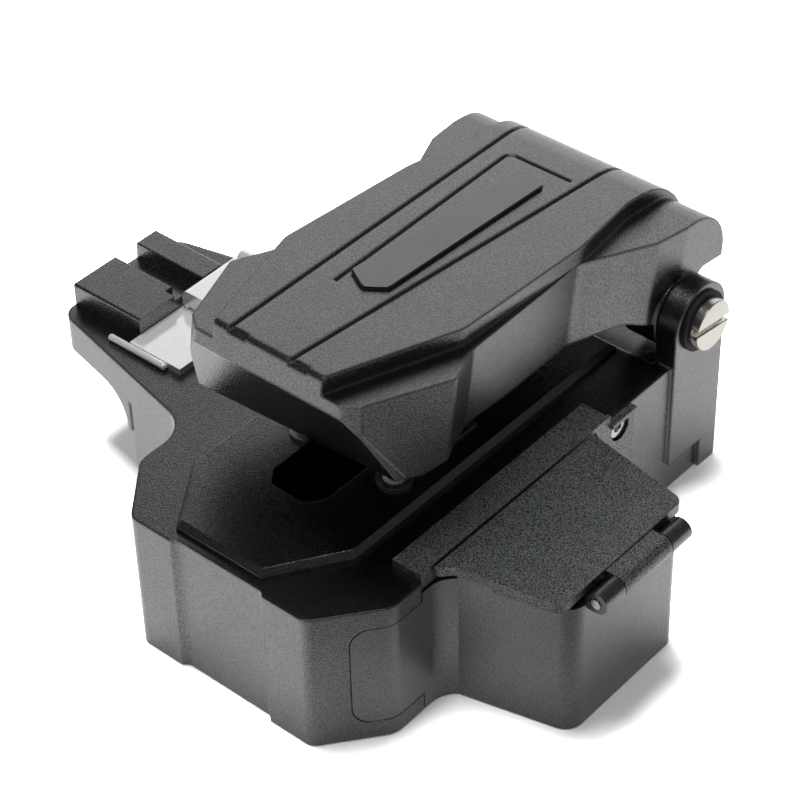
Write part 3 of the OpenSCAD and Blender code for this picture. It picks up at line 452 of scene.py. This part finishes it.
finishes["carriage_alloy"] = grained_finish(
    "blasted_alloy", (0.36, 0.37, 0.39), (0.42, 0.43, 0.45), (0.5, 0.6),
    [(0.25, 0.02)], metallic=1.0)
print("finishes:", len(finishes))

# %% [markdown]
# Every piece of the frame names the finish that it wears, so one short loop dresses them all. The
# finishes could be given to the pieces by hand here, but a finish that changes in the frame would
# then be missed.

# %% Dress the pieces
slot_of = {s["node"]: s["material_slot"] for s in frame["record"]["subparts"]}
for name, piece in nodes.items():
    piece.data.materials.clear()
    piece.data.materials.append(finishes[slot_of[name]])
print("dressed", len(nodes), "pieces")

# %% [markdown]
# Real edges are never razor sharp: a casting's are rounded by its coat, and a moulding's by its
# tool. A bevel that follows only the true edges catches the light there. The frame's meshes are
# triangles, so they are first welded and their flat faces joined, which gives the bevel clean
# edges to run along. The angle is small enough to take in the shallow creases of a casting, and
# larger than the steps of its round walls. Weighted normals keep the large faces flat up to the
# bevel. Small screws and springs are left as they are.

# %% Round the edges
EDGE_WIDTHS_MM = {
    "base_body": 0.5, "top_plate": 0.35, "lid_shell": 0.7, "bin_body": 0.3, "bin_flap": 0.3,
    "bin_bracket": 0.2, "holder_block": 0.15, "guide_plate": 0.1, "fibre_clamp": 0.1,
    "name_bar": 0.25, "hinge_screws": 0.2, "stop_buttons": 0.1, "button_rings": 0.1,
}
WELD_MM = 0.01
FLAT_WITHIN = 0.4


def soften(piece, width_mm, angle=16):
    """Rounds the edges where two faces meet at more than angle, in degrees."""
    piece.data.shade_smooth()
    weld = piece.modifiers.new("weld", "WELD")
    weld.merge_threshold = WELD_MM * MM
    flat = piece.modifiers.new("join_flats", "DECIMATE")
    flat.decimate_type = "DISSOLVE"
    flat.angle_limit = math.radians(FLAT_WITHIN)
    edge = piece.modifiers.new("round_edges", "BEVEL")
    edge.width = width_mm * MM
    edge.segments = 3
    edge.limit_method = "ANGLE"
    edge.angle_limit = math.radians(angle)
    edge.use_clamp_overlap = True
    edge.harden_normals = True
    level = piece.modifiers.new("level_flats", "WEIGHTED_NORMAL")
    level.mode = "FACE_AREA"
    level.weight = 100
    level.thresh = 0.01


for name, width in EDGE_WIDTHS_MM.items():
    soften(nodes[name], width)
print("rounded", len(EDGE_WIDTHS_MM), "pieces")

# %% [markdown]
# The lid's nose is a short, steep snout, whose lower edge runs slightly askew. The solid's front
# leans back further. Its points could be moved one by one, but a piece of its own that closes the
# nose down to the real edge is easier to shape. It is drawn with the lid closed, because its sizes
# are level or upright then, and each point is turned about the hinge to the opening that the frame
# shows.

# %% Where the lid is
HINGE_Y, HINGE_Z = 47.6, 36.4
OPENING = math.radians(9)
NOSE_FRONT, NOSE_CORNER = -34.7, -32.4
NOSE_HALF, CORNER_OUT = 15.8, 2.8
SIDE_SLOPE = 0.375
LID_LENGTH = HINGE_Y - NOSE_FRONT
LEFT_MORE = 2.6


def opened(x, y, z):
    """A point of the closed lid, in mm, moved to where the open lid has it, in metres."""
    y, z = y - HINGE_Y, z - HINGE_Z
    c, s = math.cos(OPENING), math.sin(OPENING)
    return Vector((x, HINGE_Y + y * c + z * s, HINGE_Z + z * c - y * s)) * MM


def side_of_lid(y, side):
    """Where the lid's side is near the nose; the holder's side reaches out a little more."""
    if y < NOSE_CORNER:
        half = NOSE_HALF + (y - NOSE_FRONT) * CORNER_OUT / (NOSE_CORNER - NOSE_FRONT)
    else:
        half = NOSE_HALF + CORNER_OUT + (y - NOSE_CORNER) * SIDE_SLOPE
    return half if side > 0 else -half - LEFT_MORE * max(0, y - NOSE_FRONT) / LID_LENGTH


print("the nose is", round(side_of_lid(NOSE_CORNER, 1) - side_of_lid(NOSE_CORNER, -1), 1), "mm wide")

# %% [markdown]
# The snout is a stack of rings, one for each level. A ring runs across the front from left to
# right, back along the right side and into the lid's wall, across, and forward along the left
# side. The sides stand a hair proud of the solid, so that the two skins don't flicker where they
# coincide. Only the snout's sharper edges are rounded, because the small bends between the rings
# are no edges.

# %% The snout of the lid
NOSE_TOP, NOSE_BOTTOM = 45.5, 31.8
SOLID_LEAN = 11.2
LOWER_EDGE_LEFT, LOWER_EDGE_RIGHT = -27.9, -25.3
LEVELS, ACROSS = 10, 14
PROUD, OVERLAP = 0.03, 0.3
PAST_FRONT, PAST_BEND = 0.05, 0.1
WALL_IN, WALL_DEEP, WALL_BACK = 0.8, 1.4, 0.2
SNOUT_EDGE, SNOUT_ANGLE = 0.5, 24


def ring_side(front, solid_front, side):
    """The part of a ring that runs back along one side of the lid and into its wall."""
    bend = max(front + PAST_FRONT, NOSE_CORNER)
    rear = max(solid_front, bend + PAST_BEND) + OVERLAP
    outer = side_of_lid(rear, side)
    return [
        (side_of_lid(bend, side) + side * PROUD, bend), (outer + side * PROUD, rear),
        (outer - side * WALL_IN, rear + WALL_BACK), (outer - side * WALL_DEEP, rear + WALL_BACK),
    ]


def ring_at(share):
    """The ring at a share of the way from the snout's top to its bottom, as (x, y) points."""
    left_y = NOSE_FRONT + (LOWER_EDGE_LEFT - NOSE_FRONT) * share
    right_y = NOSE_FRONT + (LOWER_EDGE_RIGHT - NOSE_FRONT) * share
    left_x, right_x = side_of_lid(left_y, -1), side_of_lid(right_y, 1)
    front = [
        (left_x + (right_x - left_x) * i / ACROSS, left_y + (right_y - left_y) * i / ACROSS)
        for i in range(ACROSS + 1)
    ]
    solid_front = NOSE_FRONT + SOLID_LEAN * share
    return front + ring_side(right_y, solid_front, 1) + ring_side(left_y, solid_front, -1)[::-1]


def make_snout():
    points, faces = [], []
    for k in range(LEVELS + 1):
        share = k / LEVELS
        z = NOSE_TOP + (NOSE_BOTTOM - NOSE_TOP) * share
        points += [opened(x, y, z) for x, y in ring_at(share)]
    per_ring = len(ring_at(0))
    for k in range(LEVELS):
        upper, lower = k * per_ring, (k + 1) * per_ring
        for i in range(per_ring):
            j = (i + 1) % per_ring
            faces.append((upper + i, upper + j, lower + j, lower + i))
    faces.append(tuple(range(per_ring))[::-1])
    faces.append(tuple(LEVELS * per_ring + i for i in range(per_ring)))
    mesh = bpy.data.meshes.new("snout")
    mesh.from_pydata(points, [], faces)
    mesh.validate()
    mesh.materials.append(finishes["black_paint"])
    snout = bpy.data.objects.new("snout", mesh)
    bpy.context.scene.collection.objects.link(snout)
    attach(snout, "lid")
    soften(snout, SNOUT_EDGE, SNOUT_ANGLE)
    return snout


snout = make_snout()
print("snout:", len(snout.data.vertices), "points")

# %% [markdown]
# The anvil's spring sits between the lid's inner plate and the anvil's collar. When the anvil is
# pushed up, the coil gets shorter: its upper end stays with the plate, and its lower end goes with
# the anvil. Here the frame's spring is hidden and a copy of its mesh, placed where it was, takes
# its place; the copy does not bend.


def make_anvil_coil():
    rigid = nodes["anvil_spring"]
    coil = bpy.data.objects.new("anvil_coil", rigid.data.copy())
    bpy.context.scene.collection.objects.link(coil)
    coil.matrix_world = rigid.matrix_world.copy()
    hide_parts("anvil_spring")
    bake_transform(coil)
    return coil


anvil_coil = make_anvil_coil()
print("anvil coil:", len(anvil_coil.data.vertices), "points")
